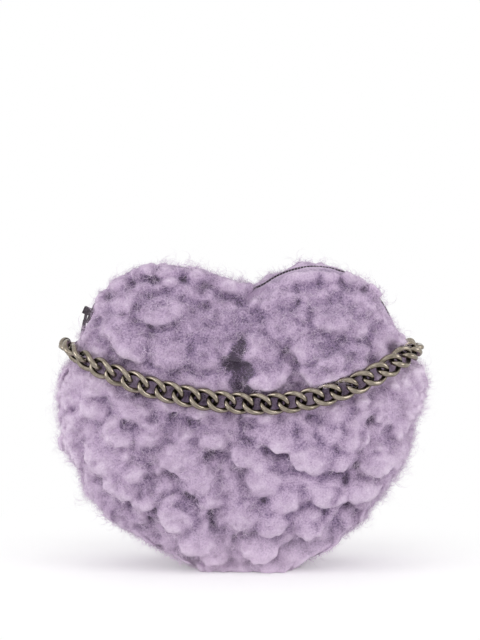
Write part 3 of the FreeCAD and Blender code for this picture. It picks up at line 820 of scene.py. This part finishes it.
# One tree scatters curls over a pile, laid along it, and gives each curl a tone of its own.
fibre_tree = bpy.data.node_groups.new("wool_fibres", "GeometryNodeTree")
sockets = {}
for title, kind in (
    ("Pile", "Geometry"),
    ("Curl", "Object"),
    ("Per Square Metre", "Float"),
    ("Seed", "Int"),
    ("Least Size", "Float"),
    ("Finish", "Material"),
):
    made = fibre_tree.interface.new_socket(title, in_out="INPUT", socket_type="NodeSocket" + kind)
    sockets[title] = made.identifier
fibre_tree.interface.new_socket("Fibres", in_out="OUTPUT", socket_type="NodeSocketGeometry")
given = add(fibre_tree, "NodeGroupInput")
pile = add(fibre_tree, "GeometryNodeInputNamedAttribute", {}, {"Name": "pile"}, data_type="FLOAT")
crowd = joined(fibre_tree, "MULTIPLY", given.outputs["Per Square Metre"], pile.outputs["Attribute"])
spread = add(
    fibre_tree,
    "GeometryNodeDistributePointsOnFaces",
    {"Mesh": given.outputs["Pile"], "Density": crowd, "Seed": given.outputs["Seed"]},
)
lay = add(fibre_tree, "GeometryNodeInputNamedAttribute", {}, {"Name": "lay"}, data_type="FLOAT_VECTOR")
upright = add(fibre_tree, "FunctionNodeAlignRotationToVector", {"Vector": lay.outputs["Attribute"]}, axis="Z")
roll = add(fibre_tree, "FunctionNodeRandomValue", {"Seed": given.outputs["Seed"]}, data_type="FLOAT_VECTOR")
roll.inputs["Min"].default_value = (-curl_tilt, -curl_tilt, 0.0)
roll.inputs["Max"].default_value = (curl_tilt, curl_tilt, full_turn)
turned = add(
    fibre_tree,
    "FunctionNodeRotateRotation",
    {"Rotation": upright.outputs[0], "Rotate By": roll.outputs["Value"]},
    rotation_space="LOCAL",
)
size = add(fibre_tree, "FunctionNodeRandomValue", {"Seed": given.outputs["Seed"]}, data_type="FLOAT")
fibre_tree.links.new(given.outputs["Least Size"], size.inputs[2])
size.inputs[3].default_value = curl_sizes[1]
shape = add(fibre_tree, "GeometryNodeObjectInfo", {"Object": given.outputs["Curl"]})
grown = add(
    fibre_tree,
    "GeometryNodeInstanceOnPoints",
    {
        "Points": spread.outputs["Points"],
        "Instance": shape.outputs["Geometry"],
        "Rotation": turned.outputs[0],
        "Scale": size.outputs[1],
    },
)
hue = add(fibre_tree, "FunctionNodeRandomValue", {"Seed": given.outputs["Seed"]}, data_type="FLOAT")
hue.inputs[2].default_value, hue.inputs[3].default_value = hair_tones
kept = add(
    fibre_tree,
    "GeometryNodeStoreNamedAttribute",
    {"Geometry": grown.outputs["Instances"], "Value": hue.outputs[1]},
    {"Name": "strand"},
    data_type="FLOAT",
    domain="INSTANCE",
)
real = add(fibre_tree, "GeometryNodeRealizeInstances", {"Geometry": kept.outputs["Geometry"]})
faced = add(
    fibre_tree,
    "GeometryNodeSetMaterial",
    {"Geometry": real.outputs["Geometry"], "Material": given.outputs["Finish"]},
)
add(fibre_tree, "NodeGroupOutput", {"Fibres": faced.outputs["Geometry"]})

hair = curl("wool_curl", fibre_thick, fibre_long, 0.7, (0.9, 1.9), 5, 3)
wisp = curl("wool_wisp", wisp_thick, wisp_long, 1.8, (1.2, 2.8), 8, 5)
# Each coat: its name, the pile it grows on, its curl, curls to a square metre, and a seed.
coats = [
    ("wool_front_fibres_1", front_wool, hair, 1.0e5, 21),
    ("wool_front_fibres_2", front_wool, hair, 0.9e5, 22),
    ("wool_front_wisps", front_wool, wisp, 5.5e4, 31),
    ("wool_back_fibres_1", back_wool, hair, 0.85e5, 24),
    ("wool_back_wisps", back_wool, wisp, 4.6e4, 32),
    ("wool_gusset_fibres_1", gusset_wool, hair, 1.8e5, 25),
    ("wool_gusset_wisps", gusset_wool, wisp, 0.9e5, 33),
]
for title, ground, tuft, crowd, seed in coats:
    holder = put("pile", ground.data.copy())
    grown = holder.modifiers.new("fibres", "NODES")
    grown.node_group = fibre_tree
    grown[sockets["Curl"]] = tuft
    grown[sockets["Per Square Metre"]] = crowd
    grown[sockets["Seed"]] = seed
    grown[sockets["Least Size"]] = curl_sizes[0]
    grown[sockets["Finish"]] = shearling
    mesh = plain_mesh(holder)
    spots = np.zeros(len(mesh.vertices) * 3, np.float32)
    mesh.vertices.foreach_get("co", spots)
    spots[2::3] = np.maximum(spots[2::3], fibre_ground / 1000)
    mesh.vertices.foreach_set("co", spots)
    piece = put(title, mesh)
    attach(piece, "bag")
bpy.data.objects.remove(hair)
bpy.data.objects.remove(wisp)


# Floor: a plain white sweep of paper, 12 m wide.
# Away from the purse it runs into the white background.
def seen_ray(tree):
    """1 for what is looked at, straight, mirrored or through glass, and 0 for light on its way."""
    ray = add(tree, "ShaderNodeLightPath")
    seen = joined(tree, "ADD", ray.outputs["Is Camera Ray"], ray.outputs["Is Glossy Ray"])
    return joined(tree, "ADD", seen, ray.outputs["Is Transmission Ray"], use_clamp=True)


floor_half = 6
paper_white = "#F4F4F4"
paper, tree, place = new_finish("white_paper")
reach = add(tree, "ShaderNodeVectorMath", {0: place}, operation="LENGTH")
fade = add(
    tree,
    "ShaderNodeMapRange",
    {"Value": reach.outputs["Value"]},
    {"From Min": 0.07, "From Max": 0.2},
    interpolation_type="SMOOTHSTEP",
)
sheet = add(tree, "ShaderNodeBsdfDiffuse", {}, {"Color": linear(paper_white)})
lift = add(tree, "ShaderNodeEmission", {}, {"Color": (1, 1, 1, 1), "Strength": 0.22})
white = add(tree, "ShaderNodeEmission", {}, {"Color": (1, 1, 1, 1), "Strength": 1.0})
seen = seen_ray(tree)
apart = joined(tree, "MULTIPLY", seen, fade.outputs[0])
lifted = add(tree, "ShaderNodeAddShader", {0: sheet.outputs[0], 1: lift.outputs[0]})
near = add(tree, "ShaderNodeMixShader", {0: seen, 1: sheet.outputs[0], 2: lifted.outputs[0]})
skin = add(tree, "ShaderNodeMixShader", {0: apart, 1: near.outputs[0], 2: white.outputs[0]})
add(tree, "ShaderNodeOutputMaterial", {"Surface": skin.outputs[0]})
floor_mesh = bpy.data.meshes.new("floor")
floor_corners = [(x * floor_half, y * floor_half, 0) for x, y in ((-1, -1), (1, -1), (1, 1), (-1, 1))]
floor_mesh.from_pydata(floor_corners, [], [(0, 1, 2, 3)])
floor_mesh.materials.append(paper)
floor = put("floor", floor_mesh)

# Light: an even white room, a broad lamp at each side, and weaker ones in front and above.
# Each lamp has its place and width in metres and its power in watts, and points at the purse.
room_light = 0.76
lamp_aim = Vector((0, 0, 0.06))
room = bpy.data.worlds.new("room")
bpy.context.scene.world = room
room.use_nodes = True
tree = room.node_tree
tree.nodes.clear()
level = add(tree, "ShaderNodeMapRange", {"Value": seen_ray(tree)}, {"To Min": room_light, "To Max": 1.0})
sky = add(tree, "ShaderNodeBackground", {"Strength": level.outputs[0]}, {"Color": (1, 1, 1, 1)})
add(tree, "ShaderNodeOutputWorld", {"Surface": sky.outputs[0]})
lamps = [
    ("lamp_front", (-0.35, -1.0, 0.3), 0.6, 1.1),
    ("lamp_above", (0.0, -0.45, 1.1), 0.6, 0.4),
    ("lamp_right", (0.9, -0.4, 0.35), 0.5, 2.7),
    ("lamp_left", (-0.9, -0.4, 0.35), 0.5, 2.7),
]
for name, at, width, power in lamps:
    light = bpy.data.lights.new(name, "AREA")
    light.size = width
    light.energy = power
    lamp = put(name, light)
    lamp.location = at
    lamp.rotation_mode = "QUATERNION"
    lamp.rotation_quaternion = (lamp_aim - Vector(at)).to_track_quat("-Z", "Y")

# Camera: a long lens in front, a little above the purse's middle and a little to its right.
# It looks at a point near the purse's top, so that the purse stands low in the picture.
view_from = 0.85
view_turn = math.radians(2.0)
view_rise = math.radians(2.5)
look_at = Vector((-0.0005, 0.0, 0.1102))
shown_height = 0.288
lens = bpy.data.cameras.new("camera")
lens.sensor_width = 36.0
lens.lens = lens.sensor_width * view_from / shown_height
camera = put("camera", lens)
flat = math.cos(view_rise)
away = Vector((math.sin(view_turn) * flat, -math.cos(view_turn) * flat, math.sin(view_rise)))
camera.location = look_at + away * view_from
camera.rotation_mode = "QUATERNION"
camera.rotation_quaternion = (-away).to_track_quat("-Z", "Y")
bpy.context.scene.camera = camera
bpy.context.scene.view_settings.view_transform = "Standard"
